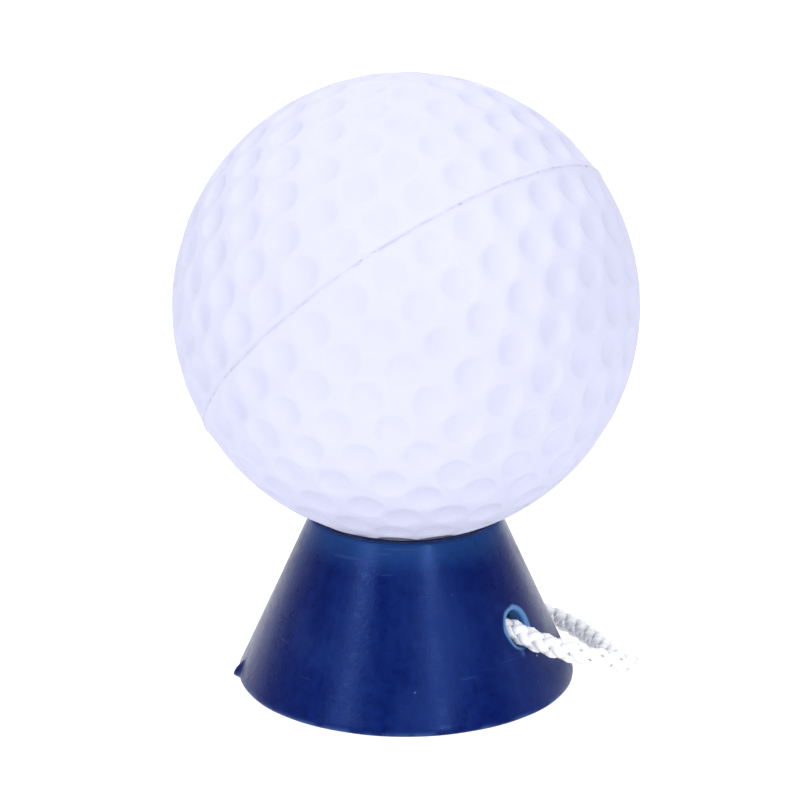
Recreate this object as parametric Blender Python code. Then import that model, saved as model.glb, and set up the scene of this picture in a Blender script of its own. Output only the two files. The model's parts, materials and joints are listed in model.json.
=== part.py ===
"""A hollow rubber golf tee with a foam practice ball on its rim and a braided cord through its wall.

The origin is the centre of the tee's base on the ground, +Z is up, and the cord leaves the wall
towards +X and -Y. Every size is in metres, written through MM where millimetres read better.
"""

import math

import bmesh
import bpy
from mathutils import Matrix, Vector

MM = 0.001
FIT_GAP = 0.3 * MM  # left between pieces that touch

# Ball: one foam moulding with a fine raised parting line
BALL_RADIUS = 21.335 * MM
PARTING_RIDGE_HEIGHT = 0.12 * MM
PARTING_RIDGE_WIDTH = 0.5 * MM
PARTING_TILT = math.radians(42.6)  # between the parting plane and the ground
PARTING_AZIMUTH = math.radians(141.3)  # the way the parting plane's normal leans

# Tee: a cone of even wall, open at both ends, with a dished rim
TEE_HEIGHT = 15.75 * MM
BASE_RADIUS = 16.1 * MM
RIM_RADIUS = 8.95 * MM
WALL = 2.0 * MM  # square to the side
SEAT_GAP = 0.2 * MM
SEAT_WIDTH = 1.1 * MM
RIM_LAND = 0.4 * MM  # flat ring left outside the dish
BORE_LAND = 1.0 * MM  # short upright stretch under the dish
RIM_ROUND = 0.3 * MM
BASE_ROUND = 0.15 * MM

# Cord hole: a level bore with a bevelled mouth
HOLE_HEIGHT = 7.2 * MM
HOLE_AZIMUTH = math.radians(-36.6)
HOLE_RADIUS = 1.4 * MM
MOUTH_BEVEL = 0.5 * MM  # how much wider the mouth is all round
MOUTH_DEPTH = 0.4 * MM

# Cord, its knots, its coil and the tie that holds the coil
CORD_RADIUS = 1.05 * MM
CORD_REST_GAP = 0.2 * MM  # under the cord where it lies in the hole
KNOT_RADIUS = 2.7 * MM
KNOT_HALF_THICKNESS = 2.15 * MM
COIL_CENTRE = Vector((0, 54 * MM, 0))
COIL_MIDDLE_RADIUS = 11.5 * MM
TIE_WIDTH = 3.0 * MM
TIE_THICKNESS = 0.35 * MM
TIE_AZIMUTH = math.radians(100)
TIE_STUB_RADIUS = 0.5 * MM
TIE_STUB_LENGTH = 3.6 * MM
GROUND_GAP = 0.1 * MM

# Free stretch of cord, from inside the wall to the coil, in millimetres
CORD_ROUTE = [
    (8.33, -6.19, 7.05),
    (9.35, -6.95, 7.02),
    (10.38, -7.71, 6.88),
    (11.3, -8.39, 6.63),
    (12.6, -9.36, 6.45),
    (14.0, -10.33, 6.35),
    (15.6, -11.1, 6.15),
    (17.4, -11.3, 5.65),
    (19.2, -10.65, 4.9),
    (20.6, -9.1, 4.0),
    (21.2, -7.2, 3.1),
    (21.05, -5.1, 2.25),
    (20.45, -2.7, 1.55),
    (19.7, 0.1, 1.15),
    (18.8, 3.4, 1.15),
    (17.2, 7.1, 1.15),
    (14.7, 10.8, 1.15),
    (11.2, 14.4, 1.15),
    (7.1, 17.8, 1.15),
    (3.0, 21.6, 1.15),
    (-0.9, 26.0, 1.15),
    (-4.4, 31.0, 1.15),
    (-7.4, 36.4, 1.15),
    (-9.9, 42.0, 1.15),
]

# Free end of cord, from the coil to the end knot, in millimetres
TAIL_ROUTE = [
    (8.85, 41.8, 1.9),
    (8.2, 40.1, 1.45),
    (7.3, 38.5, 1.2),
    (6.25, 37.15, 1.15),
]
END_KNOT_CENTRE = Vector((4.4, 34.85, 2.3)) * MM

# Fineness of round pieces
TEE_SEGMENTS = 72
BALL_SEGMENTS = 64
BALL_RINGS = 26
HOLE_SEGMENTS = 24
COIL_SEGMENTS = 48
ARC_STEPS = 3

# Worked out from the sizes above
SIDE_LEAN = math.atan2(BASE_RADIUS - RIM_RADIUS, TEE_HEIGHT)
DISH_RADIUS = BALL_RADIUS + SEAT_GAP
DISH_EDGE = RIM_RADIUS - RIM_LAND
BALL_HEIGHT = TEE_HEIGHT + math.sqrt(DISH_RADIUS**2 - DISH_EDGE**2)
BORE_RADIUS = DISH_EDGE - SEAT_WIDTH
INNER_BASE_RADIUS = BASE_RADIUS - WALL / math.cos(SIDE_LEAN)
HOLE_DIRECTION = Vector((math.cos(HOLE_AZIMUTH), math.sin(HOLE_AZIMUTH), 0))
MOUTH_RADIUS = HOLE_RADIUS + MOUTH_BEVEL
CORD_HEIGHT_IN_HOLE = HOLE_HEIGHT - (HOLE_RADIUS - CORD_RADIUS - CORD_REST_GAP)
CORD_DIAMETER = 2 * CORD_RADIUS
COIL_OUTER_RADIUS = COIL_MIDDLE_RADIUS + CORD_DIAMETER
COIL_INNER_RADIUS = COIL_MIDDLE_RADIUS - CORD_DIAMETER
COIL_BOTTOM = GROUND_GAP + TIE_THICKNESS + FIT_GAP
COIL_TOP = COIL_BOTTOM + CORD_DIAMETER * (1 + math.sin(math.radians(60)))


def clear_scene():
    for thing in list(bpy.data.objects):
        bpy.data.objects.remove(thing, do_unlink=True)


def material(name, colour, roughness):
    made = bpy.data.materials.new(name)
    made.use_nodes = True
    shader = made.node_tree.nodes["Principled BSDF"]
    shader.inputs["Base Color"].default_value = (*colour, 1)
    shader.inputs["Roughness"].default_value = roughness
    shader.inputs["Metallic"].default_value = 0
    return made


def add_object(name, data, finish=None):
    thing = bpy.data.objects.new(name, data)
    bpy.context.scene.collection.objects.link(thing)
    if finish:
        data.materials.append(finish)
    return thing


def mesh_object(name, bm, finish=None):
    """The bmesh as a smooth-shaded object, with its faces turned outwards."""
    bmesh.ops.recalc_face_normals(bm, faces=bm.faces)
    mesh = bpy.data.meshes.new(name)
    bm.to_mesh(mesh)
    bm.free()
    mesh.shade_smooth()
    mesh.set_sharp_from_angle(angle=math.radians(35))
    return add_object(name, mesh, finish)


def as_helper(thing):
    thing.hide_render = True
    thing.display_type = "WIRE"
    return thing


def boolean(thing, operation, other):
    step = thing.modifiers.new(f"{operation.title()} {other.name}", "BOOLEAN")
    step.operation = operation
    step.solver = "EXACT"
    step.object = other


def arc(centre, radius, start, end, steps):
    """Points (r, z) on a circle, both ends included, with angles counted from +r towards +z."""
    turns = [start + (end - start) * step / steps for step in range(steps + 1)]
    return [(centre[0] + radius * math.cos(a), centre[1] + radius * math.sin(a)) for a in turns]


def rounded(corner, before, after, radius):
    """The points of an arc that rounds a corner between its two neighbours."""
    corner, before, after = (Vector(point) for point in (corner, before, after))
    towards_before = (before - corner).normalized()
    towards_after = (after - corner).normalized()
    half = towards_before.angle(towards_after) / 2
    reach = radius / math.tan(half)
    centre = corner + (towards_before + towards_after).normalized() * radius / math.sin(half)
    first = corner + towards_before * reach - centre
    last = corner + towards_after * reach - centre
    turn = first.angle_signed(last)
    points = []
    for step in range(ARC_STEPS + 1):
        spoke = Matrix.Rotation(-turn * step / ARC_STEPS, 2) @ first
        points.append(tuple(centre + spoke))
    return points


def turned(name, outline, segments, finish, is_ring):
    """A solid of revolution about Z from (r, z) points; a ring's outline closes on itself."""
    bm = bmesh.new()
    points = [bm.verts.new((r, 0, z)) for r, z in outline]
    edges = [bm.edges.new(pair) for pair in zip(points, points[1:])]
    if is_ring:
        edges.append(bm.edges.new((points[-1], points[0])))
    bmesh.ops.spin(
        bm,
        geom=points + edges,
        axis=(0, 0, 1),
        cent=(0, 0, 0),
        angle=2 * math.pi,
        steps=segments,
        use_merge=True,
    )
    bmesh.ops.remove_doubles(bm, verts=bm.verts, dist=0.001 * MM)
    return mesh_object(name, bm, finish)


def tee_outline():
    """The tee's wall in section, down the outside, across the base, up the inside and over the rim."""
    rim = (RIM_RADIUS, TEE_HEIGHT)
    base = (BASE_RADIUS, 0)
    inner_base = (INNER_BASE_RADIUS, 0)
    dish_edge = (DISH_EDGE, TEE_HEIGHT)
    bore_angle = math.asin(BORE_RADIUS / DISH_RADIUS)
    edge_angle = math.asin(DISH_EDGE / DISH_RADIUS)
    down = -math.pi / 2
    dish = arc((0, BALL_HEIGHT), DISH_RADIUS, down + bore_angle, down + edge_angle, ARC_STEPS)
    bore_foot = (BORE_RADIUS, dish[0][1] - BORE_LAND)
    outline = rounded(rim, dish_edge, base, RIM_ROUND)
    outline += rounded(base, rim, inner_base, BASE_ROUND)
    outline += rounded(inner_base, base, bore_foot, BASE_ROUND)
    return outline + [bore_foot] + dish


def add_cutter(name, foot, way, foot_radius, end_radius, length):
    """A round cutter that starts at foot and runs along way."""
    bm = bmesh.new()
    bmesh.ops.create_cone(
        bm,
        cap_ends=True,
        segments=HOLE_SEGMENTS,
        radius1=foot_radius,
        radius2=end_radius,
        depth=length,
    )
    turn = way.to_track_quat("Z", "X").to_matrix().to_4x4()
    bmesh.ops.transform(bm, matrix=Matrix.Translation(foot + way * length / 2) @ turn, verts=bm.verts)
    return as_helper(mesh_object(name, bm))


def wall_radius_at(height, foot):
    """Distance from the axis to the side of the wall that stands on foot."""
    return foot - height * math.tan(SIDE_LEAN)


def build_tee(finish):
    tee = turned("tee_cone", tee_outline(), TEE_SEGMENTS, finish, is_ring=True)
    rise = Vector((0, 0, HOLE_HEIGHT))
    outside = wall_radius_at(HOLE_HEIGHT, BASE_RADIUS)
    start = HOLE_DIRECTION * wall_radius_at(HOLE_HEIGHT, INNER_BASE_RADIUS) / 2 + rise
    bore = add_cutter("bore_cutter", start, HOLE_DIRECTION, HOLE_RADIUS, HOLE_RADIUS, outside)
    boolean(tee, "DIFFERENCE", bore)
    # the mouth is square to the leaning wall, and its cutter starts narrow inside the bore
    outwards = HOLE_DIRECTION * math.cos(SIDE_LEAN) + Vector((0, 0, math.sin(SIDE_LEAN)))
    flare = MOUTH_BEVEL / MOUTH_DEPTH
    below = MOUTH_RADIUS / flare * 0.6
    foot = HOLE_DIRECTION * outside + rise - outwards * below
    narrow = MOUTH_RADIUS - flare * below
    wide = MOUTH_RADIUS + flare * WALL
    mouth = add_cutter("mouth_cutter", foot, outwards, narrow, wide, below + WALL)
    boolean(tee, "DIFFERENCE", mouth)


def build_ball(finish):
    half_ridge = PARTING_RIDGE_WIDTH / 2 / BALL_RADIUS
    top = math.pi / 2
    steps = BALL_RINGS // 2
    outline = arc((0, 0), BALL_RADIUS, top, half_ridge, steps)
    outline.append((BALL_RADIUS + PARTING_RIDGE_HEIGHT, 0))
    outline += arc((0, 0), BALL_RADIUS, -half_ridge, -top, steps)
    ball = turned("ball", outline, BALL_SEGMENTS, finish, is_ring=False)
    ball.rotation_euler = (0, PARTING_TILT, PARTING_AZIMUTH)
    ball.location = (0, 0, BALL_HEIGHT)


def smooth_route(points):
    """The route's points with one more halfway along the smooth curve between each pair."""
    route = [Vector(point) * MM for point in points]
    padded = [2 * route[0] - route[1], *route, 2 * route[-1] - route[-2]]
    smooth = [route[0]]
    for before, start, end, after in zip(padded, padded[1:], padded[2:], padded[3:]):
        smooth.append((9 * (start + end) - before - after) / 16)
        smooth.append(end)
    return smooth


def add_tube(name, route, finish):
    curve = bpy.data.curves.new(name, "CURVE")
    curve.dimensions = "3D"
    curve.bevel_depth = CORD_RADIUS
    curve.bevel_resolution = 2
    curve.use_fill_caps = True
    points = smooth_route(route)
    spline = curve.splines.new("POLY")
    spline.points.add(len(points) - 1)
    for place, point in zip(spline.points, points):
        place.co = (*point, 1)
    return add_object(name, curve, finish)


def add_knot(name, centre, flat_way, finish):
    """A flattened round solid; flat_way is the direction that it is thinnest along."""
    bm = bmesh.new()
    bmesh.ops.create_uvsphere(bm, u_segments=20, v_segments=12, radius=KNOT_RADIUS)
    flatness = KNOT_HALF_THICKNESS / KNOT_RADIUS
    bmesh.ops.scale(bm, vec=(1, 1, flatness), verts=bm.verts)
    knot = mesh_object(name, bm, finish)
    knot.rotation_euler = flat_way.to_track_quat("Z", "X").to_euler()
    knot.location = centre


def stop_knot_centre():
    """Inside the wall on the cord's line, a fit gap clear of the leaning wall."""
    inside = wall_radius_at(CORD_HEIGHT_IN_HOLE, INNER_BASE_RADIUS)
    reach = math.hypot(KNOT_HALF_THICKNESS * math.cos(SIDE_LEAN), KNOT_RADIUS * math.sin(SIDE_LEAN))
    centre = HOLE_DIRECTION * (inside - (reach + FIT_GAP) / math.cos(SIDE_LEAN))
    centre.z = CORD_HEIGHT_IN_HOLE
    return centre


def build_coil(finish):
    edge = CORD_RADIUS * 0.95
    middle = (COIL_BOTTOM + COIL_TOP) / 2
    corners = [
        (COIL_OUTER_RADIUS, COIL_TOP),
        (COIL_OUTER_RADIUS, COIL_BOTTOM),
        (COIL_INNER_RADIUS, COIL_BOTTOM),
        (COIL_INNER_RADIUS, COIL_TOP),
    ]
    outline = []
    for index, corner in enumerate(corners):
        outline += rounded(corner, corners[index - 1], corners[(index + 1) % 4], edge)
    coil = turned("cord_coil", [(r, z - middle) for r, z in outline], COIL_SEGMENTS, finish, is_ring=True)
    coil.location = COIL_CENTRE + Vector((0, 0, middle))


def frame_loop(half_width, half_height, radius):
    """A rectangle with rounded corners, as (across, up) points."""
    corners = [
        (half_width, half_height),
        (half_width, -half_height),
        (-half_width, -half_height),
        (-half_width, half_height),
    ]
    loop = []
    for index, corner in enumerate(corners):
        loop += rounded(corner, corners[index - 1], corners[(index + 1) % 4], radius)
    return loop


def build_tie(finish):
    """A strip that wraps the coil's section, with its twisted ends standing off the outside."""
    half_width = (COIL_OUTER_RADIUS - COIL_INNER_RADIUS) / 2 + FIT_GAP
    half_height = (COIL_TOP - COIL_BOTTOM) / 2 + FIT_GAP
    inner = frame_loop(half_width, half_height, CORD_RADIUS)
    outer = frame_loop(
        half_width + TIE_THICKNESS, half_height + TIE_THICKNESS, CORD_RADIUS + TIE_THICKNESS
    )
    bm = bmesh.new()
    rings = []
    for loop, side in ((inner, -1), (outer, -1), (outer, 1), (inner, 1)):
        rings.append([bm.verts.new((r, side * TIE_WIDTH / 2, z)) for r, z in loop])
    for ring, other in zip(rings, rings[1:] + rings[:1]):
        for index in range(len(ring)):
            bm.faces.new((ring[index - 1], ring[index], other[index], other[index - 1]))
    tie = mesh_object("coil_tie", bm, finish)
    stub = bmesh.new()
    bmesh.ops.create_cone(
        stub,
        cap_ends=True,
        segments=12,
        radius1=TIE_STUB_RADIUS,
        radius2=TIE_STUB_RADIUS,
        depth=TIE_STUB_LENGTH,
    )
    reach = half_width + TIE_THICKNESS / 2 + TIE_STUB_LENGTH / 2
    outwards = Matrix.Translation((reach, 0, 0)) @ Matrix.Rotation(math.pi / 2, 4, "Y")
    bmesh.ops.transform(stub, matrix=outwards, verts=stub.verts)
    ends = as_helper(mesh_object("tie_ends", stub))
    boolean(tie, "UNION", ends)
    spoke = Vector((math.cos(TIE_AZIMUTH), math.sin(TIE_AZIMUTH), 0))
    place = COIL_CENTRE + spoke * COIL_MIDDLE_RADIUS
    place.z = (COIL_BOTTOM + COIL_TOP) / 2
    for piece in (tie, ends):
        piece.location = place
        piece.rotation_euler = (0, 0, TIE_AZIMUTH)


def build():
    clear_scene()
    rubber = material("tee_rubber", (0.012, 0.03, 0.13), 0.5)
    foam = material("ball_foam", (0.8, 0.79, 0.9), 0.75)
    braid = material("cord_braid", (0.85, 0.85, 0.84), 0.8)
    paper = material("tie_paper", (0.8, 0.8, 0.78), 0.6)
    build_tee(rubber)
    build_ball(foam)
    add_tube("cord", CORD_ROUTE, braid)
    add_knot("stop_knot", stop_knot_centre(), HOLE_DIRECTION, braid)
    build_coil(braid)
    add_tube("cord_tail", TAIL_ROUTE, braid)
    add_knot("end_knot", END_KNOT_CENTRE, Vector((0, 0, 1)), braid)
    build_tie(paper)


build()
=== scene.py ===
import json
import math

import bmesh
import bpy
from mathutils import Matrix, Vector

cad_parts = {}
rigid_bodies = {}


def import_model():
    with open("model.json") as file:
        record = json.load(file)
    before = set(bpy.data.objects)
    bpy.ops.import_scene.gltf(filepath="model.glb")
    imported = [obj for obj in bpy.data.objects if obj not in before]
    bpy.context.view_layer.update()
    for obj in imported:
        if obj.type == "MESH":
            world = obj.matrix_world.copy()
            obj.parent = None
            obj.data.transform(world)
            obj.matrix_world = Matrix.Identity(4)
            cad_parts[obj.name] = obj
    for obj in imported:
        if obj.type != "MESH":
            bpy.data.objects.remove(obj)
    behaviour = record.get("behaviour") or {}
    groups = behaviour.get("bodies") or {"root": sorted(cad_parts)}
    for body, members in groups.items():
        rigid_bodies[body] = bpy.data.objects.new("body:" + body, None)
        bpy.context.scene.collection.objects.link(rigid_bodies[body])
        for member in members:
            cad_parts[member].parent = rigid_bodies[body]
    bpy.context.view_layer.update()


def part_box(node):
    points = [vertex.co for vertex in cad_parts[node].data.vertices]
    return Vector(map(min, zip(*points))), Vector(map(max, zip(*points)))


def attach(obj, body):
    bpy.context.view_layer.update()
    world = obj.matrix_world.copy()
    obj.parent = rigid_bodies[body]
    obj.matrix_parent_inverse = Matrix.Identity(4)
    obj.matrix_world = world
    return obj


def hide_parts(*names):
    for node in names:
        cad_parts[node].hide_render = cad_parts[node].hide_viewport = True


for thing in list(bpy.data.objects):
    bpy.data.objects.remove(thing, do_unlink=True)

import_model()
mm = 0.001
fullTurn = 2 * math.pi

camera = {
    "ballDistance": 203 * mm,
    "elevation": math.radians(13.3),  # of the line from the ball to the camera
    "tilt": math.radians(15.7),  # of the camera itself, which looks a little below the ball
    "aside": -0.55 * mm,
    "lens": 99.75,
}


def link(name, data):
    made = bpy.data.objects.new(name, data)
    bpy.context.scene.collection.objects.link(made)
    return made


def middleOf(node):
    low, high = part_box(node)
    return (low + high) / 2


def makeCamera():
    data = bpy.data.cameras.new("camera")
    data.lens = camera["lens"]
    data.sensor_width = 36
    data.clip_start = 0.01
    data.clip_end = 20
    made = link("camera", data)
    back = Vector((0, -math.cos(camera["elevation"]), math.sin(camera["elevation"])))
    made.location = middleOf("ball") + back * camera["ballDistance"]
    made.location.x += camera["aside"]
    made.rotation_euler = (math.pi / 2 - camera["tilt"], 0, 0)
    bpy.context.scene.camera = made
    print("camera placed")


class Wire:
    # an output socket of a shape's or a finish's tree, to add, multiply and feed to other nodes
    def __init__(self, tree, socket=None):
        self.tree = tree
        self.socket = socket

    def node(self, kind, settings=None, sockets=None, output=0):
        made = self.tree.nodes.new(kind)
        for name, value in (settings or {}).items():
            setattr(made, name, value)
        for name, value in (sockets or {}).items():
            if isinstance(value, Wire):
                self.tree.links.new(value.socket, made.inputs[name])
            else:
                made.inputs[name].default_value = value
        return Wire(self.tree, made.outputs[output] if made.outputs else None)

    def maths(self, operation, first, second=0.0):
        return self.node("ShaderNodeMath", {"operation": operation}, {0: first, 1: second})

    def __add__(self, other):
        return self.maths("ADD", self, other)

    def __radd__(self, other):
        return self.maths("ADD", other, self)

    def __sub__(self, other):
        return self.maths("SUBTRACT", self, other)

    def __rsub__(self, other):
        return self.maths("SUBTRACT", other, self)

    def __mul__(self, other):
        return self.maths("MULTIPLY", self, other)

    def __rmul__(self, other):
        return self.maths("MULTIPLY", other, self)

    def __truediv__(self, other):
        return self.maths("DIVIDE", self, other)

    def __rtruediv__(self, other):
        return self.maths("DIVIDE", other, self)

    def vector(self, operation, first, second=None, output=0):
        sockets = {0: first}
        if second is not None:
            sockets[3 if operation == "SCALE" else 1] = second
        return self.node("ShaderNodeVectorMath", {"operation": operation}, sockets, output)

    def fade(self, low, high, start=0.0, end=1.0):
        settings = {"interpolation_type": "SMOOTHSTEP"}
        return self.node("ShaderNodeMapRange", settings, {0: self, 1: low, 2: high, 3: start, 4: end})

    def noise(self, place, scale, detail=2.0, roughness=0.5):
        sockets = {"Vector": place, "Scale": scale, "Detail": detail, "Roughness": roughness}
        return self.node("ShaderNodeTexNoise", None, sockets)

    def cells(self, place, scale, output=0):
        return self.node("ShaderNodeTexVoronoi", None, {"Vector": place, "Scale": scale}, output)

    def mix(self, factor, first, second):
        settings = {"data_type": "RGBA"}
        return self.node("ShaderNodeMix", settings, {0: factor, 6: first, 7: second}, 2)


def shapeTree(name, inputs):
    # a Geometry Nodes tree with a Geometry input, the named inputs and a Geometry output
    tree = bpy.data.node_groups.new(name, "GeometryNodeTree")
    tree.interface.new_socket("Geometry", in_out="INPUT", socket_type="NodeSocketGeometry")
    for inputName, kind in inputs.items():
        tree.interface.new_socket(inputName, in_out="INPUT", socket_type="NodeSocket" + kind)
    tree.interface.new_socket("Geometry", in_out="OUTPUT", socket_type="NodeSocketGeometry")
    start = tree.nodes.new("NodeGroupInput")
    given = {socket.name: Wire(tree, socket) for socket in start.outputs if socket.name}
    return tree, Wire(tree), given


def finishTree(graph, geometry, material):
    geometry = graph.node("GeometryNodeRealizeInstances", None, {"Geometry": geometry})
    geometry = graph.node("GeometryNodeSetShadeSmooth", None, {"Geometry": geometry})
    geometry = graph.node("GeometryNodeSetMaterial", None, {"Geometry": geometry, "Material": material})
    end = graph.tree.nodes.new("NodeGroupOutput")
    graph.tree.links.new(geometry.socket, end.inputs[0])


def grow(name, tree, values, source):
    # the tree's result on a source mesh, as a plain mesh object
    maker = link(name + "Maker", source)
    step = maker.modifiers.new("grow", "NODES")
    step.node_group = tree
    for socket in tree.interface.items_tree:
        if socket.in_out == "INPUT" and socket.name in values:
            step[socket.identifier] = values[socket.name]
    graph = bpy.context.evaluated_depsgraph_get()
    mesh = bpy.data.meshes.new_from_object(maker.evaluated_get(graph))
    bpy.data.objects.remove(maker)
    print(name, "has", len(mesh.polygons), "faces")
    return link(name, mesh)


def startFinish(name, constants):
    material = bpy.data.materials.new(name)
    material.use_nodes = True
    tree = material.node_tree
    shader = tree.nodes["Principled BSDF"]
    for socket, value in constants.items():
        shader.inputs[socket].default_value = value
    graph = Wire(tree)
    place = graph.node("ShaderNodeTexCoord", None, None, "Object")
    return material, shader, graph, place


def connect(graph, shader, sockets):
    for name, wire in sockets.items():
        graph.tree.links.new(wire.socket, shader.inputs[name])


cord = {  # its places, radii and heights are in millimetres
    "diameter": 2.1 * mm,
    "route": [
        (8.35, -6.16, 6.9), (9.45, -6.85, 6.76), (10.5, -7.58, 6.56), (11.4, -8.27, 6.34),
        (12.65, -9.3, 6.22), (14.0, -10.28, 6.15), (15.6, -11.05, 5.98), (17.4, -11.3, 5.55),
        (19.2, -10.65, 4.9), (20.6, -9.1, 4.0), (21.2, -7.2, 3.1), (21.05, -5.1, 2.25),
        (20.45, -2.7, 1.55), (19.7, 0.1, 1.15), (18.8, 3.4, 1.15), (17.2, 7.1, 1.15),
        (14.7, 10.8, 1.15), (11.2, 14.4, 1.15), (7.1, 17.8, 1.15), (3.0, 21.6, 1.15),
        (-0.9, 26.0, 1.15), (-4.4, 31.0, 1.15), (-7.4, 36.4, 1.15), (-9.9, 42.0, 1.15),
        (-11.7, 47.5, 1.15),
    ],
    "exit": (10.5, -7.58, 6.56),
    "tail": [
        (9.75, 46.2, 3.2), (9.4, 43.6, 2.6), (8.85, 41.8, 1.9), (8.2, 40.1, 1.45),
        (7.3, 38.5, 1.2), (6.25, 37.15, 1.15),
    ],
    "turns": 2.5,
    "wideRadius": 12.55,
    "tightRadius": 10.45,
    "topRadius": 11.5,
    "lowHeight": 1.15,
    "topHeight": 2.97,
    # where the turns change, counted in turns from the coil's start
    "goInside": (0.78, 1.0),
    "climb": (1.68, 1.88),
    "swingOut": (1.72, 1.95),
    "settle": (1.95, 2.1),
    "overTie": 0.42,  # how far the turns rise over the tie's strip
    "overTieSpread": (0.14, 0.4),  # in radians from the tie
    "stepsPerTurn": 24,
    "spacing": 0.35,
}
braid = {
    "Strands": 3,  # each way round
    "Pitch": 5.4 * mm,
    "Radius": 0.62 * mm,
    "Weave": 0.17 * mm,
    "Width": 1.02 * mm,
    "Thickness": 0.52 * mm,
    "Core": 0.5 * mm,
    "Core Spacing": 0.6 * mm,
    "Spacing": 0.2 * mm,
}
tightBraid = {"Radius": 0.6 * mm, "Core": 0.6 * mm}  # as a knot pulls it
tie = {
    "azimuth": math.radians(100),
    "width": 3.0 * mm,
    "thickness": 0.14 * mm,
    "wireRidge": 0.13 * mm,
    "ridgeShare": 0.28,  # of the strip's half width
    "crease": 0.06 * mm,
    "slack": 0.12 * mm,  # between the strip and the cord
    "twistLength": 3.4 * mm,
    "twistTurn": 2.3 * mm,
    "twistWidth": 1.15 * mm,
    "twistLift": 0.35 * mm,
    "twistGap": 0.3 * mm,
    "tipGap": 0.35 * mm,
}


def ease(value, low, high):
    share = min(max((value - low) / (high - low), 0), 1)
    return share * share * (3 - 2 * share)


def coilPoints():
    # turns on the ground from the outside in, and the last ones on top of them
    centre = middleOf("cord_coil") / mm
    thick = cord["diameter"] / mm
    points = []
    steps = int(cord["turns"] * cord["stepsPerTurn"])
    for step in range(steps + 1):
        turn = cord["turns"] * step / steps
        radius = cord["wideRadius"]
        radius += (cord["tightRadius"] - cord["wideRadius"]) * ease(turn, *cord["goInside"])
        radius += (cord["topRadius"] - cord["tightRadius"]) * ease(turn, *cord["swingOut"])
        height = cord["lowHeight"] + thick * ease(turn, *cord["climb"])
        height += (cord["topHeight"] - cord["lowHeight"] - thick) * ease(turn, *cord["settle"])
        angle = math.pi - fullTurn * turn
        fromTie = (angle - tie["azimuth"] + math.pi) % fullTurn - math.pi
        height += cord["overTie"] * (1 - ease(abs(fromTie), *cord["overTieSpread"]))
        points.append((centre.x + math.cos(angle) * radius, centre.y + math.sin(angle) * radius, height))
    return points


def smoothPath(points, spacing):
    knots = [Vector(point) for point in points]
    knots = [2 * knots[0] - knots[1], *knots, 2 * knots[-1] - knots[-2]]
    fine = []
    for a, b, c, d in zip(knots, knots[1:], knots[2:], knots[3:]):
        steps = max(2, round((c - b).length / spacing))
        for step in range(steps):
            t = step / steps
            bend = 2 * a - 5 * b + 4 * c - d
            twist = 3 * b - a - 3 * c + d
            fine.append((2 * b + (c - a) * t + bend * t ** 2 + twist * t ** 3) / 2)
    return fine + [knots[-2]]


def lineMesh(name, points):
    mesh = bpy.data.meshes.new(name)
    mesh.from_pydata(points, [(i, i + 1) for i in range(len(points) - 1)], [])
    return mesh


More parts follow.
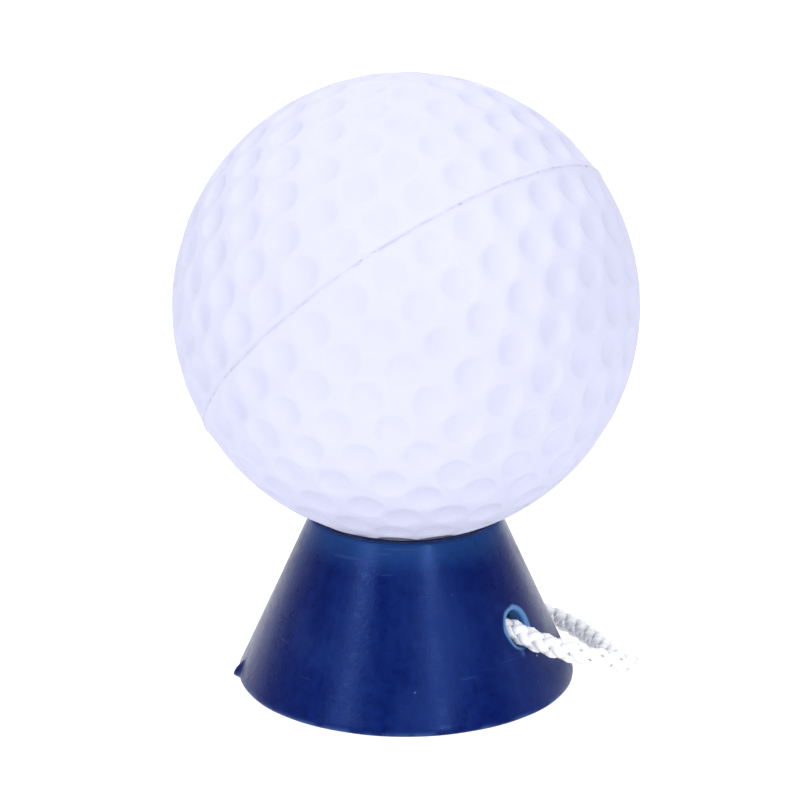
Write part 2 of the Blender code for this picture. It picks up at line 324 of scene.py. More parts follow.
def braidTree():
    # strands run round the line both ways, each passing over one and under the next
    sizes = {"Strands": "Int"}
    sizes |= {name: "Float" for name in braid if name != "Strands"}
    tree, graph, given = shapeTree("braid", {**sizes, "Material": "Material"})
    line = graph.node("GeometryNodeMeshToCurve", None, {"Mesh": given["Geometry"]})
    sockets = {"Curve": line, "Length": given["Spacing"]}
    line = graph.node("GeometryNodeResampleCurve", {"mode": "LENGTH"}, sockets)
    strands = given["Strands"]
    copies = {"Geometry": line, "Amount": strands * 2}
    copy = graph.node("GeometryNodeDuplicateElements", {"domain": "SPLINE"}, copies)
    index = Wire(tree, copy.socket.node.outputs["Duplicate Index"])
    way = graph.maths("LESS_THAN", index, strands) * 2 - 1
    spoke = graph.maths("MODULO", index, strands)
    along = graph.node("GeometryNodeSplineParameter", None, None, "Length")
    turned = along * fullTurn / given["Pitch"]
    angle = spoke * fullTurn / strands + way * turned
    lift = way * graph.maths("COSINE", turned * strands)
    normal = graph.node("GeometryNodeInputNormal")
    side = graph.vector("CROSS_PRODUCT", graph.node("GeometryNodeInputTangent"), normal)
    outward = graph.vector(
        "ADD",
        graph.vector("SCALE", normal, graph.maths("COSINE", angle)),
        graph.vector("SCALE", side, graph.maths("SINE", angle)),
    )
    stored = {
        "outward": ("FLOAT_VECTOR", outward),
        "strandLift": ("FLOAT", lift),
        "alongStrand": ("FLOAT", along / given["Spacing"]),
        "whichStrand": ("FLOAT", index + 0.0),
    }
    for name, (kind, value) in stored.items():
        sockets = {"Geometry": copy, "Name": name, "Value": value}
        copy = graph.node("GeometryNodeStoreNamedAttribute", {"data_type": kind}, sockets)
    settings = {"data_type": "FLOAT_VECTOR"}
    out = graph.node("GeometryNodeInputNamedAttribute", settings, {"Name": "outward"})
    offset = graph.vector("SCALE", out, given["Radius"] + lift * given["Weave"])
    copy = graph.node("GeometryNodeSetPosition", None, {"Geometry": copy, "Offset": offset})
    copy = graph.node("GeometryNodeSetCurveNormal", {"mode": "FREE"}, {"Curve": copy, "Normal": out})
    ring = graph.node("GeometryNodeCurvePrimitiveCircle", None, {"Resolution": 6, "Radius": 0.5})
    around = graph.node("GeometryNodeSplineParameter")
    sockets = {"Geometry": ring, "Name": "aroundStrand", "Value": around}
    ring = graph.node("GeometryNodeStoreNamedAttribute", {"data_type": "FLOAT"}, sockets)
    flat = graph.node("ShaderNodeCombineXYZ", None, {0: given["Thickness"], 1: given["Width"], 2: 1.0})
    ring = graph.node("GeometryNodeTransform", None, {"Geometry": ring, "Scale": flat})
    sweep = {"Curve": copy, "Profile Curve": ring, "Fill Caps": True}
    woven = graph.node("GeometryNodeCurveToMesh", None, sweep)
    sockets = {"Resolution": 8, "Radius": given["Core"]}
    coreRing = graph.node("GeometryNodeCurvePrimitiveCircle", None, sockets)
    sockets = {"Curve": line, "Length": given["Core Spacing"]}
    coreLine = graph.node("GeometryNodeResampleCurve", {"mode": "LENGTH"}, sockets)
    sweep = {"Curve": coreLine, "Profile Curve": coreRing, "Fill Caps": True}
    core = graph.node("GeometryNodeCurveToMesh", None, sweep)
    joined = graph.node("GeometryNodeJoinGeometry", None, {"Geometry": core})
    tree.links.new(woven.socket, joined.socket.node.inputs[0])
    finishTree(graph, joined, given["Material"])
    return tree


def cordFinish():
    constants = {"Specular IOR Level": 0.35, "Sheen Weight": 0.25, "Sheen Roughness": 0.5}
    material, shader, graph, place = startFinish("whiteBraid", constants)
    lift = graph.node("ShaderNodeAttribute", {"attribute_name": "strandLift"}, None, "Fac")
    along = graph.node("ShaderNodeAttribute", {"attribute_name": "alongStrand"}, None, "Fac")
    around = graph.node("ShaderNodeAttribute", {"attribute_name": "aroundStrand"}, None, "Fac")
    which = graph.node("ShaderNodeAttribute", {"attribute_name": "whichStrand"}, None, "Fac")
    sockets = {0: around * 34.0, 1: along * 0.12, 2: which * 7.0}
    filament = graph.node("ShaderNodeCombineXYZ", None, sockets)
    threads = graph.noise(filament, 1.0, 3.0, 0.6)
    shade = graph.noise(place, 900.0)
    # painted shade: strands are darker where they dip under the crossing strands, in the gaps of the
    # weave
    underWeaveShade = lift.fade(0.5, -1.0)
    shadedStrand = graph.mix(underWeaveShade * 0.45, (0.86, 0.87, 0.875, 1), (0.52, 0.52, 0.62, 1))
    colour = graph.mix(threads.fade(0.55, 0.3) * 0.25, shadedStrand, (0.6, 0.6, 0.69, 1))
    height = threads * 0.7 + shade * 0.3
    bump = graph.node("ShaderNodeBump", None, {"Strength": 0.6, "Distance": 0.05 * mm, "Height": height})
    connect(graph, shader, {"Base Color": colour, "Roughness": threads * 0.3 + 0.55, "Normal": bump})
    return material


def knotLine(size, rise, lead, tail):
    # an overhand knot's one and a half loops, between the cord's lead and its short tail
    points = [Vector(point) for point in lead]
    steps = 26
    gap = 0.35  # the angle at each end where the lead and the tail take over
    for step in range(steps + 1):
        a = math.pi + gap + (fullTurn - 2 * gap) * step / steps
        across = (math.sin(a) + 2 * math.sin(2 * a)) / 3 * size
        down = (math.cos(a) - 2 * math.cos(2 * a)) / 3 * size
        points.append(Vector((across, down, -rise * math.sin(3 * a))))
    return points + [Vector(point) for point in tail]


knotSpacing = 0.3
stopKnot = {  # in millimetres
    "size": 1.8,
    "rise": 0.95,
    "lead": [(0, 0, 2.5), (-0.3, -0.5, 1.95), (-0.35, -1.15, 1.3)],
    "tail": [(0.55, -1.75, -0.95), (1.5, -2.2, -1.05), (2.5, -2.9, -0.95)],
}
endKnot = {
    "size": 1.8,
    "rise": -0.95,
    "lead": [(-2.95, 0, -1.15), (-2.0, -0.45, -1.1), (-1.0, -1.1, -1.0), (-0.2, -1.5, -0.95)],
    "tail": [(0.5, -1.75, 0.8), (1.5, -2.1, 0.15), (2.6, -2.6, -0.8), (3.7, -3.2, -1.12)],
}


def placeFrame(x, z, origin):
    # a matrix with its X and Z axes along two given ways, which are square to each other
    y = z.cross(x)
    turn = Matrix((x, y, z)).transposed().to_4x4()
    return Matrix.Translation(origin) @ turn


sealed = {
    "radius": 0.98 * mm,
    "flatness": 0.62,
    "ripple": 0.07,
}


def sealedTip(name, end, heading, material):
    # the melted bead that keeps a cut end from fraying
    bm = bmesh.new()
    bmesh.ops.create_uvsphere(bm, u_segments=20, v_segments=14, radius=sealed["radius"])
    for vert in bm.verts:
        ripple = 1 + sealed["ripple"] * math.sin(vert.co.x * 4100) * math.cos(vert.co.y * 3700)
        vert.co = Vector((vert.co.x * ripple, vert.co.y * ripple, vert.co.z * sealed["flatness"]))
    turn = heading.to_track_quat("Z", "X").to_matrix().to_4x4()
    bm.transform(Matrix.Translation(end) @ turn)
    mesh = bpy.data.meshes.new(name)
    bm.to_mesh(mesh)
    bm.free()
    mesh.shade_smooth()
    mesh.materials.append(material)
    return link(name, mesh)


def sealedFinish():
    constants = {"Specular IOR Level": 0.5}
    material, shader, graph, place = startFinish("meltedEnd", constants)
    tone = graph.noise(place, 1500.0, 3.0)
    colour = graph.mix(tone.fade(0.35, 0.65), (0.72, 0.7, 0.66, 1), (0.5, 0.46, 0.38, 1))
    bump = graph.node("ShaderNodeBump", None, {"Strength": 0.5, "Distance": 0.05 * mm, "Height": tone})
    connect(graph, shader, {"Base Color": colour, "Roughness": tone * 0.3 + 0.2, "Normal": bump})
    return material


def makeKnot(name, spec, place, tree, white, node):
    points = [place @ (point * mm) for point in smoothPath(knotLine(**spec), knotSpacing)]
    values = {**braid, **tightBraid, "Material": white}
    knot = grow(name, tree, values, lineMesh(name + "Line", points))
    tip = sealedTip(name + "Tip", points[-1], (points[-1] - points[-2]).normalized(), sealedFinish())
    for piece in (knot, tip):
        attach(piece, "tee")
    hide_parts(node)
    return [knot, tip]


def makeCord():
    white = cordFinish()
    tree = braidTree()
    route = cord["route"] + coilPoints() + cord["tail"]
    points = [p * mm for p in smoothPath(route, cord["spacing"])]
    made = grow("braidedCord", tree, {**braid, "Material": white}, lineMesh("cordLine", points))
    length = sum((b - a).length for a, b in zip(points, points[1:]))
    print("cord length", round(length, 4))
    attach(made, "tee")
    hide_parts("cord", "cord_tail", "cord_coil")
    outwards = points[1] - points[0]
    outwards.z = 0
    outwards.normalize()
    centre = middleOf("stop_knot")
    inner = placeFrame(Vector((0, 0, 1)), outwards, centre)
    pieces = makeKnot("stopKnot", stopKnot, inner, tree, white, "stop_knot")
    centre = middleOf("end_knot")
    heading = centre - points[-1]
    heading.z = 0
    outer = placeFrame(heading.normalized(), Vector((0, 0, 1)), centre)
    pieces += makeKnot("endKnot", endKnot, outer, tree, white, "end_knot")
    pieces.append(makeTie())


def tieFinish():
    material, shader, graph, place = startFinish("twistTiePaper", {"Specular IOR Level": 0.3})
    fibre = graph.noise(place, 2600.0, 4.0, 0.7)
    stain = graph.noise(place, 420.0)
    colour = graph.mix(fibre.fade(0.4, 0.7), (0.78, 0.78, 0.76, 1), (0.88, 0.88, 0.87, 1))
    colour = graph.mix(stain.fade(0.55, 0.75) * 0.3, colour, (0.66, 0.64, 0.6, 1))
    height = fibre * 0.6 + stain * 0.4
    bump = graph.node("ShaderNodeBump", None, {"Strength": 0.7, "Distance": 0.06 * mm, "Height": height})
    connect(graph, shader, {"Base Color": colour, "Roughness": fibre * 0.25 + 0.55, "Normal": bump})
    return material


def addStrip(bm, spine, width):
    # a thin strip with a wire under its middle; spine holds (place, up, across) at each step
    columns = 9
    rings = []
    for step, (place, up, across) in enumerate(spine):
        top = []
        bottom = []
        for column in range(columns):
            share = column / (columns - 1) * 2 - 1
            ridge = tie["wireRidge"] * math.exp(-((share / tie["ridgeShare"]) ** 2))
            wrinkle = tie["crease"] * math.sin(step * 1.9 + column * 2.3)
            spot = place + across * (share * width / 2) + up * wrinkle
            top.append(bm.verts.new(spot + up * (tie["thickness"] / 2 + ridge)))
            bottom.append(bm.verts.new(spot - up * (tie["thickness"] / 2 + ridge * 0.6)))
        rings.append(top + bottom[::-1])
    count = 2 * columns
    for ring, other in zip(rings, rings[1:]):
        for i in range(count):
            bm.faces.new((ring[i], ring[(i + 1) % count], other[(i + 1) % count], other[i]))
    bm.faces.new(rings[0])
    bm.faces.new(rings[-1][::-1])


def tiePlace(radius, height):
    spoke = Vector((math.cos(tie["azimuth"]), math.sin(tie["azimuth"]), 0))
    centre = middleOf("cord_coil")
    return Vector((centre.x, centre.y, 0)) + spoke * radius + Vector((0, 0, height))


def makeTie():
    spoke = Vector((math.cos(tie["azimuth"]), math.sin(tie["azimuth"]), 0))
    across = Vector((-spoke.y, spoke.x, 0))
    reach = cord["diameter"] / 2 + tie["thickness"] / 2 + tie["slack"]
    low = (cord["lowHeight"] + cord["overTie"]) * mm
    high = (cord["topHeight"] + cord["overTie"]) * mm
    # round the outer turn, the top one and the inner one, and back under them
    turns = [
        (cord["wideRadius"] * mm, low, -90, 30),
        (cord["topRadius"] * mm, high, 30, 150),
        (cord["tightRadius"] * mm, low, 150, 270),
    ]
    spine = []
    for radius, height, first, last in turns:
        for step in range(11):
            angle = math.radians(first + (last - first) * step / 10)
            up = spoke * math.cos(angle) + Vector((0, 0, math.sin(angle)))
            spine.append((tiePlace(radius, height) + up * reach, up, across))
    under = Vector((0, 0, -1))
    for step in range(1, 8):
        share = step / 8
        radius = (cord["tightRadius"] + (cord["wideRadius"] - cord["tightRadius"]) * share) * mm
        spine.append((tiePlace(radius, low) + under * reach, under, across))
    spine.append(spine[0])
    bm = bmesh.new()
    addStrip(bm, spine, tie["width"])
    # the two ends, twisted round each other and opened at the tips
    root = tiePlace(cord["wideRadius"] * mm + reach, low + tie["twistLift"])
    for side in (0, math.pi):
        spine = []
        steps = 26
        for step in range(steps + 1):
            along = tie["twistLength"] * step / steps
            angle = side + fullTurn * along / tie["twistTurn"]
            up = across * math.cos(angle) + Vector((0, 0, math.sin(angle)))
            wide = across * -math.sin(angle) + Vector((0, 0, math.cos(angle)))
            gap = tie["twistGap"] + tie["tipGap"] * ease(step / steps, 0.75, 1.0)
            spine.append((root + spoke * (along - 0.2 * mm) + up * gap, up, wide))
        addStrip(bm, spine, tie["twistWidth"])
    bmesh.ops.recalc_face_normals(bm, faces=bm.faces)
    mesh = bpy.data.meshes.new("paperTie")
    bm.to_mesh(mesh)
    bm.free()
    mesh.shade_smooth()
    mesh.set_sharp_from_angle(angle=math.radians(50))
    mesh.materials.append(tieFinish())
    made = link("paperTie", mesh)
    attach(made, "tee")
    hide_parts("coil_tie")
    print("tie twisted")
    return made


ball = {
    "Radius": 21.335 * mm,
    "Dimple Radius": 1.64 * mm,
    "Dimple Depth": 0.47 * mm,
    "Ridge Height": 0.11 * mm,
    "Ridge Width": 0.17 * mm,
    "Unevenness": 0.03 * mm,
    "Segments": 361,
    "Rings": 265,
}
parting = {
    "tilt": math.radians(42.6),
    "turn": math.radians(141.3),
    "front": math.radians(128.5),  # the parting line's point that faces the viewer
}
dimpleRows = {
    # rows on each side of the parting line, in degrees from it
    "first": 5.9,
    "spacing": 9.8,
    "last": 85,
    # dimples in each row, and how far round its first one is turned, in degrees
    "upper": [(33, -16), (33, -5), (29, 1), (25, -6.5), (22, -2), (19, 3), (14, 0), (8, 0), (3, 0)],
    "lower": [(33, 22.7), (33, 13.3), (30, 2.5), (26, 5), (22, 10), (20, -2.5), (14, 4), (8, 0), (3, 0)],
}


def dimpleCentres():
    spots = []
    for side, rows in ((1, dimpleRows["upper"]), (-1, dimpleRows["lower"])):
        for row, (count, first) in enumerate(rows):
            fromLine = min(dimpleRows["first"] + dimpleRows["spacing"] * row, dimpleRows["last"])
            latitude = math.radians(side * fromLine)
            flat = math.cos(latitude)
            for dimple in range(count):
                around = parting["front"] + math.radians(first) + fullTurn * dimple / count
                spot = Vector((flat * math.cos(around), flat * math.sin(around), math.sin(latitude)))
                spots.append(spot * ball["Radius"])
    print(len(spots), "dimples")
    return spots


def ballTree():
    sizes = {name: "Float" for name in ball if name not in ("Segments", "Rings")}
    sizes |= {"Segments": "Int", "Rings": "Int", "Material": "Material"}
    tree, graph, given = shapeTree("dimpledBall", sizes)
    sockets = {
        "Size X": 1.0,
        "Size Y": 1.0,
        "Vertices X": given["Segments"],
        "Vertices Y": given["Rings"],
    }
    sheet = graph.node("GeometryNodeMeshGrid", None, sockets)
    spot = graph.node("GeometryNodeInputPosition")
    x = graph.node("ShaderNodeSeparateXYZ", None, {0: spot})
    y = Wire(tree, x.socket.node.outputs[1])
    longitude = x * fullTurn
    # rings crowd together at the parting line, where the ridge needs them
    crowd = 0.75
    reach = 40.0
    share = y * 2
    squeezed = share - graph.maths("TANH", share * reach) * (crowd / reach)
    latitude = squeezed * (math.pi / 2 / (1 - crowd / reach))
    flat = graph.maths("COSINE", latitude)
    sockets = {
        0: flat * graph.maths("COSINE", longitude),
        1: flat * graph.maths("SINE", longitude),
        2: graph.maths("SINE", latitude),
    }
    way = graph.node("ShaderNodeCombineXYZ", None, sockets)
    onBall = graph.vector("SCALE", way, given["Radius"])
    sockets = {0: given["Geometry"], "Sample Position": onBall}
    nearest = graph.node("GeometryNodeProximity", {"target_element": "POINTS"}, sockets, "Distance")
    share = nearest / given["Dimple Radius"]
    bowl = graph.maths("MAXIMUM", 1 - share * share, 0.0)
    hollow = share.fade(0.6, 1.1, 1.0, 0.0) * 0.15 + bowl * 0.85
    fromLine = latitude * given["Radius"] / given["Ridge Width"]
    ragged = graph.noise(way, 34.0, 2.0) * 0.9 + 0.55
    ridge = graph.maths("EXPONENT", fromLine * fromLine * -1) * ragged
    uneven = graph.noise(way, 9.0, 3.0) - 0.5
    height = given["Radius"] - hollow * given["Dimple Depth"]
    height = height + ridge * given["Ridge Height"] + (uneven - 0.5) * given["Unevenness"]
    sockets = {"Geometry": sheet, "Position": graph.vector("SCALE", way, height)}
    shaped = graph.node("GeometryNodeSetPosition", None, sockets)
    sockets = {"Geometry": shaped, "Distance": 0.001 * mm}
    closed = graph.node("GeometryNodeMergeByDistance", None, sockets)
    finishTree(graph, closed, given["Material"])
    return tree


def ballFinish(centre, turn):
    constants = {
        "Specular IOR Level": 0.3,
        "Subsurface Weight": 0.15,
        "Subsurface Radius": (1.0, 0.9, 1.1),
        "Subsurface Scale": 0.8 * mm,
    }
    material, shader, graph, place = startFinish("whiteFoam", constants)
    around = graph.vector("SUBTRACT", place, centre)
    normal = turn.to_3x3() @ Vector((0, 0, 1))
    height = graph.vector("DOT_PRODUCT", around, normal, "Value")
    wander = (graph.noise(place, 260.0, 2.0) - 0.5) * (0.16 * mm)
    fromLine = graph.maths("ABSOLUTE", height + wander)
    line = fromLine.fade(0.05 * mm, 0.2 * mm, 1.0, 0.0)
    grime = graph.noise(place, 700.0, 3.0, 0.7)
    specks = graph.cells(place, 900.0).fade(0.1, 0.3, 1.0, 0.0)
    specks = specks * graph.noise(place, 330.0).fade(0.54, 0.6)
    tone = graph.noise(place, 70.0, 3.0)
    pores = graph.cells(place, 3300.0)
    grain = graph.noise(place, 5200.0, 2.0)
    colour = graph.mix(tone.fade(0.3, 0.7), (0.536, 0.54, 0.7, 1), (0.55, 0.557, 0.715, 1))
    colour = graph.mix(pores.fade(0.25, 0.05) * 0.12, colour, (0.6, 0.59, 0.75, 1))
    colour = graph.mix(line * (grime.fade(0.35, 0.7) * 0.4 + 0.1), colour, (0.33, 0.32, 0.45, 1))
    colour = graph.mix(line * specks * 0.8, colour, (0.16, 0.14, 0.2, 1))
    relief = pores.fade(0.0, 0.35) * 0.5 + grain * 0.5
    sockets = {"Strength": 0.35, "Distance": 0.04 * mm, "Height": relief}
    bump = graph.node("ShaderNodeBump", None, sockets)
    connect(graph, shader, {"Base Color": colour, "Roughness": grain * 0.15 + 0.68, "Normal": bump})
    return material


def makeBall():
    centre = middleOf("ball")
    turn = Matrix.Rotation(parting["turn"], 4, "Z") @ Matrix.Rotation(parting["tilt"], 4, "Y")
    spots = bpy.data.meshes.new("dimpleSpots")
    spots.from_pydata(dimpleCentres(), [], [])
    values = {**ball, "Material": ballFinish(centre, turn)}
    made = grow("foamBall", ballTree(), values, spots)
    made.data.transform(Matrix.Translation(centre) @ turn)
    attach(made, "ball")
    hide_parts("ball")
    print("ball done")


tee = {  # in millimetres
    "height": 15.75,
    "baseRadius": 16.1,
    "rimRadius": 8.95,
    "dishEdge": 8.55,
    "dishRadius": 21.535,
    "seatWidth": 1.1,
    "wall": 2.0,
    "boreLand": 1.0,
    "rimRound": 0.3,
    "baseRound": 0.22,
    "segments": 288,
    "stepLength": 0.45,
    "wobble": 0.035,
    "skin": 0.6,  # how deep under the outside the flash still pushes
}
teeFall = (tee["baseRadius"] - tee["rimRadius"]) / tee["height"]
hole = {
    "height": 7.2,
    "azimuth": math.radians(-36.6),
    "radius": 1.4,
    "lip": 0.42,
    "wear": 0.4,  # how far the cord has worn the hole's lower side down
    "segments": 56,
}
nib = {  # a bit of moulding flash left on the foot
    "azimuth": math.radians(186),
    "halfWidth": 0.55,
    "height": 1.7,
    "reach": 0.55,
}


def roundedCorner(corner, before, after, radius, steps=5):
    corner, before, after = (Vector(point) for point in (corner, before, after))
    towardsBefore = (before - corner).normalized()
    towardsAfter = (after - corner).normalized()
    half = towardsBefore.angle(towardsAfter) / 2
    reach = radius / math.tan(half)
    centre = corner + (towardsBefore + towardsAfter).normalized() * radius / math.sin(half)
    first = corner + towardsBefore * reach - centre
    turn = first.angle_signed(corner + towardsAfter * reach - centre)
    return [centre + Matrix.Rotation(-turn * step / steps, 2) @ first for step in range(steps + 1)]


def teeOutline():
    # down the outside, across the foot, up the inside and over the dished rim, as (radius, height)
    lean = math.atan(teeFall)
    rim = (tee["rimRadius"], tee["height"])
    base = (tee["baseRadius"], 0)
    innerBase = (tee["baseRadius"] - tee["wall"] / math.cos(lean), 0)
    dishCentre = tee["height"] + math.sqrt(tee["dishRadius"] ** 2 - tee["dishEdge"] ** 2)
    boreRadius = tee["dishEdge"] - tee["seatWidth"]
    dish = []
    for step in range(7):
        radius = boreRadius + tee["seatWidth"] * step / 6
        dish.append(Vector((radius, dishCentre - math.sqrt(tee["dishRadius"] ** 2 - radius ** 2))))
    boreFoot = Vector((boreRadius, dish[0].y - tee["boreLand"]))
    outline = roundedCorner(rim, (tee["dishEdge"], tee["height"]), base, tee["rimRound"])
    outline += roundedCorner(base, rim, innerBase, tee["baseRound"])
    outline += roundedCorner(innerBase, base, boreFoot, tee["baseRound"])
    outline += [boreFoot] + dish
    fine = []
    for point, after in zip(outline, outline[1:] + outline[:1]):
        steps = max(1, round((after - point).length / tee["stepLength"]))
        fine += [point.lerp(after, step / steps) for step in range(steps)]
    return fine


def ringBody(bm, outline):
    rings = []
    for segment in range(tee["segments"]):
        angle = fullTurn * segment / tee["segments"]
        x, y = math.cos(angle), math.sin(angle)
        rings.append([bm.verts.new((point.x * x, point.x * y, point.y)) for point in outline])
    for ring, other in zip(rings, rings[1:] + rings[:1]):
        for i in range(len(ring)):
            bm.faces.new((ring[i - 1], ring[i], other[i], other[i - 1]))


def handMade(point):
    # the slight waviness of a soft moulding, and the flash on its foot; point is in millimetres
    radius = math.hypot(point.x, point.y)
    angle = math.atan2(point.y, point.x)
    low = 1 - ease(point.z, 0, 5)
    wave = math.sin(3 * angle + 0.7)
    wave += 0.6 * math.sin(7 * angle + point.z * 0.3)
    wave += 0.4 * math.sin(17 * angle)
    push = tee["wobble"] * wave * (0.35 + 0.65 * low)
    if radius > tee["baseRadius"] - point.z * teeFall - tee["skin"]:
        aside = (angle - nib["azimuth"] + math.pi) % fullTurn - math.pi
        spread = math.exp(-((aside * radius / nib["halfWidth"]) ** 2))
        push += nib["reach"] * spread * (1 - ease(point.z, nib["height"] * 0.4, nib["height"]))
    scale = 1 + push / radius
    return Vector((point.x * scale, point.y * scale, point.z))


def holeCutter():
    # a level bore whose mouth rolls outwards evenly all round the leaning wall
    outer = hole["radius"] + hole["lip"]
    profile = [(outer + 0.25, -0.8), (outer + 0.02, -0.05)]
    for step in range(9):
        angle = math.pi / 2 * step / 8
        profile.append((outer - hole["lip"] * math.sin(angle), hole["lip"] * (1 - math.cos(angle))))
    profile.append((hole["radius"], 5.0))
    bm = bmesh.new()
    rings = []
    for radius, depth in profile:
        ring = []
        for segment in range(hole["segments"]):
            angle = fullTurn * segment / hole["segments"]
            aside = radius * math.sin(angle)
            height = hole["height"] + radius * math.cos(angle)
            height -= hole["wear"] * max(-math.cos(angle), 0) ** 1.5
            wall = tee["baseRadius"] - height * teeFall
            ring.append(bm.verts.new((math.sqrt(wall ** 2 - aside ** 2) - depth, aside, height)))
        rings.append(ring)
    for ring, other in zip(rings, rings[1:]):
        for i in range(len(ring)):
            bm.faces.new((ring[i - 1], ring[i], other[i], other[i - 1]))
    bm.faces.new(rings[0])
    bm.faces.new(rings[-1])
    bmesh.ops.recalc_face_normals(bm, faces=bm.faces)
    bm.transform(Matrix.Scale(mm, 4) @ Matrix.Rotation(hole["azimuth"], 4, "Z"))
    mesh = bpy.data.meshes.new("holeCutter")
    bm.to_mesh(mesh)
    bm.free()
    return link("holeCutter", mesh)


def rubberFinish():
    material, shader, graph, place = startFinish(
        "blueRubber", {"Specular IOR Level": 0.36, "Specular Tint": (0.2, 0.38, 1.0, 1)})
    split = graph.node("ShaderNodeSeparateXYZ", None, {0: place})
    x, y, z = (Wire(split.tree, split.socket.node.outputs[axis]) for axis in range(3))
    angle = graph.maths("ARCTAN2", y, x)
    # cloudy bloom, in patches and in faint upright runs
    cloud = graph.noise(place, 110.0, 4.0, 0.6).fade(0.42, 0.72)
    runs = graph.node("ShaderNodeCombineXYZ", None, {0: angle * 3.0, 1: z * 25.0, 2: 0.4})
    bloom = graph.noise(runs, 2.2, 3.0, 0.6).fade(0.45, 0.75)
    mottle = graph.noise(place, 1250.0, 3.0, 0.65)
    navy = graph.mix(mottle.fade(0.35, 0.7), (0.0003, 0.0046, 0.07, 1), (0.0006, 0.0068, 0.089, 1))
    colour = graph.mix(cloud * 0.14 + bloom * 0.1, navy, (0.014, 0.045, 0.22, 1))
    nearRim = z.fade(12.6 * mm, 15.7 * mm)
    colour = graph.mix(nearRim * 0.4, colour, (0.02, 0.085, 0.27, 1))
    foot = z.fade(0.55 * mm, 0.15 * mm) * graph.noise(place, 500.0).fade(0.35, 0.6)
    colour = graph.mix(foot * 0.45, colour, (0.05, 0.11, 0.3, 1))
    # fine scratches, most of them nearly level, and dust
    scratches = None
    for tilt, stretch, scale in ((0.2, 16.0, 150.0), (-0.5, 20.0, 120.0), (1.1, 22.0, 90.0)):
        sockets = {"Vector": place, "Rotation": (tilt, tilt * 0.5, tilt), "Scale": (1.0, 1.0, stretch)}
        turned = graph.node("ShaderNodeMapping", None, sockets)
        lines = graph.noise(turned, scale, 2.0, 0.4).fade(0.7, 0.76)
        scratches = lines if scratches is None else graph.maths("MAXIMUM", scratches, lines)
    patchy = graph.noise(place, 140.0, 2.0).fade(0.5, 0.65)
    scratches = scratches * patchy
    colour = graph.mix(scratches * 0.09, colour, (0.1, 0.18, 0.4, 1))
    dust = graph.cells(place, 620.0).fade(0.1, 0.04) * graph.noise(place, 240.0).fade(0.55, 0.62)
    colour = graph.mix(dust * 0.6, colour, (0.25, 0.34, 0.55, 1))
    # the paler, scuffed lip of the cord's hole
    onAxis = Vector((0, 0, hole["height"] * mm))
    heading = Vector((math.cos(hole["azimuth"]), math.sin(hole["azimuth"]), 0))
    fromHole = graph.vector("SUBTRACT", place, onAxis)
    aside = graph.vector("LENGTH", graph.vector("CROSS_PRODUCT", fromHole, heading), output="Value")
    outside = graph.vector("DOT_PRODUCT", fromHole, heading, "Value").fade(10.4 * mm, 11.2 * mm)
    ragged = (graph.noise(place, 1300.0, 3.0) - 0.5) * (0.35 * mm)
    lip = (aside + ragged).fade(2.05 * mm, 1.76 * mm) * outside
    edge = aside.fade(1.3 * mm, 1.5 * mm)
    lipColour = graph.mix(edge, (0.03, 0.115, 0.34, 1), (0.1, 0.24, 0.48, 1))
    colour = graph.mix(lip * 0.9, colour, lipColour)
    # a rub mark under the hole, where the cord has dragged
    below = Vector((heading.x * 13.7 - 0.5, heading.y * 13.7 - 0.4, 4.7)) * mm
    sockets = {"Vector": graph.vector("SUBTRACT", place, below), "Scale": (2.4, 2.4, 1.0)}
    rub = graph.vector("LENGTH", graph.node("ShaderNodeMapping", None, sockets), output="Value")
    rub = rub.fade(1.25 * mm, 0.3 * mm) * mottle.fade(0.4, 0.6)
    colour = graph.mix(rub * 0.6, colour, (0.09, 0.21, 0.46, 1))
    worn = graph.maths("MAXIMUM", lip, scratches)
    roughness = 0.17 + cloud * 0.14 + mottle * 0.26 + worn * 0.18
    height = mottle * 0.5 + graph.noise(place, 3800.0, 2.0) * 0.3 - scratches * 0.12
    bump = graph.node("ShaderNodeBump", None, {"Strength": 0.7, "Distance": 0.05 * mm, "Height": height})
    connect(graph, shader, {"Base Color": colour, "Roughness": roughness, "Normal": bump})
    return material


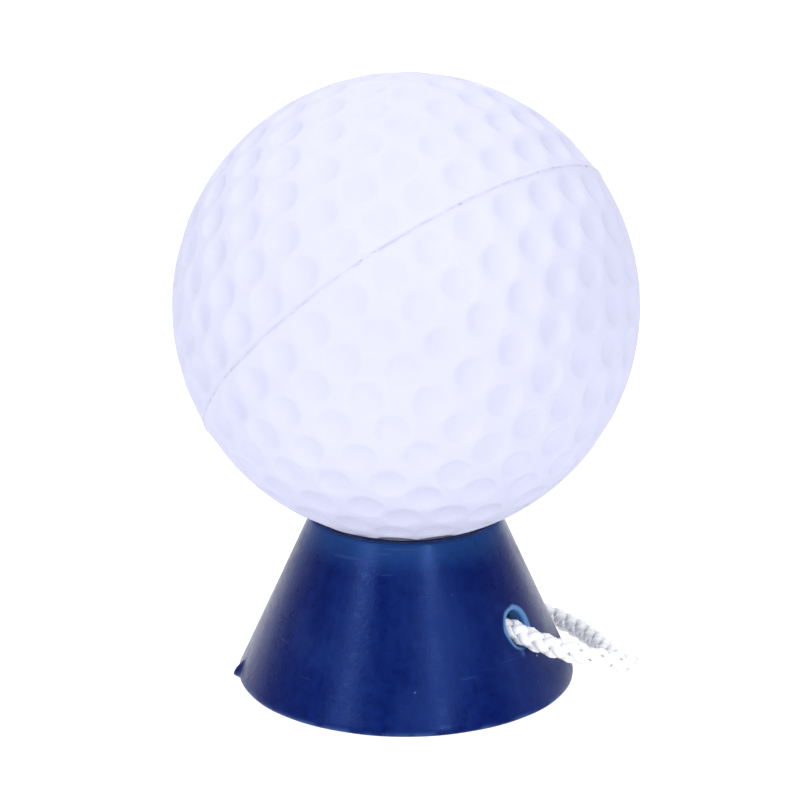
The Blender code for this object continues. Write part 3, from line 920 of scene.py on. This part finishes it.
def makeTee():
    bm = bmesh.new()
    ringBody(bm, teeOutline())
    for vert in bm.verts:
        vert.co = handMade(vert.co) * mm
    bmesh.ops.recalc_face_normals(bm, faces=bm.faces)
    mesh = bpy.data.meshes.new("rubberTee")
    bm.to_mesh(mesh)
    bm.free()
    blank = link("teeBlank", mesh)
    cutter = holeCutter()
    cut = blank.modifiers.new("cord hole", "BOOLEAN")
    cut.operation = "DIFFERENCE"
    cut.solver = "EXACT"
    cut.object = cutter
    graph = bpy.context.evaluated_depsgraph_get()
    finished = bpy.data.meshes.new_from_object(blank.evaluated_get(graph))
    bpy.data.objects.remove(blank)
    bpy.data.objects.remove(cutter)
    finished.materials.clear()
    finished.materials.append(rubberFinish())
    finished.shade_smooth()
    finished.set_sharp_from_angle(angle=math.radians(32))
    made = link("rubberTee", finished)
    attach(made, "tee")
    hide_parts("tee_cone")
    print("tee has", len(finished.polygons), "faces")


studio = {
    "floorSize": 6.0,
    "floorGlow": 0.78,
    "surround": 0.35,
    "lamps": [
        # name, place, width and height, power in watts
        ("frontKey", (-0.03, -0.75, 0.05), (0.2, 0.2), 0.9),
        ("leftStrip", (-0.5, -0.5, 0.48), (0.06, 0.45), 2.2),
        ("rightStrip", (0.3, -0.62, 0.48), (0.025, 0.45), 2.6),
        ("topPanel", (0.0, 0.6, 1.9), (4.2, 4.2), 74.0),
    ],
}


def makeStudio():
    data = bpy.data.meshes.new("floor")
    half = studio["floorSize"] / 2
    corners = [(-half, -half, 0), (half, -half, 0), (half, half, 0), (-half, half, 0)]
    data.from_pydata(corners, [], [(0, 1, 2, 3)])
    constants = {
        "Base Color": (0.5, 0.5, 0.5, 1),
        "Roughness": 0.9,
        "Specular IOR Level": 0.0,
        "Emission Color": (1.0, 1.0, 1.0, 1),
        "Emission Strength": studio["floorGlow"],
    }
    data.materials.append(startFinish("lightTable", constants)[0])
    link("floor", data)
    world = bpy.data.worlds.new("studio")
    world.use_nodes = True
    sky = world.node_tree.nodes["Background"]
    sky.inputs["Color"].default_value = (1.0, 1.0, 1.0, 1)
    sky.inputs["Strength"].default_value = studio["surround"]
    bpy.context.scene.world = world
    aim = middleOf("ball")
    for name, place, (width, height), power in studio["lamps"]:
        lamp = bpy.data.lights.new(name, "AREA")
        lamp.shape = "RECTANGLE"
        lamp.size = width
        lamp.size_y = height
        lamp.energy = power
        made = link(name, lamp)
        made.location = place
        made.rotation_euler = (aim - Vector(place)).to_track_quat("-Z", "Y").to_euler()
    bpy.context.scene.view_settings.view_transform = "Standard"
    print("studio lit")


makeCamera()
makeCord()
makeBall()
makeTee()
makeStudio()
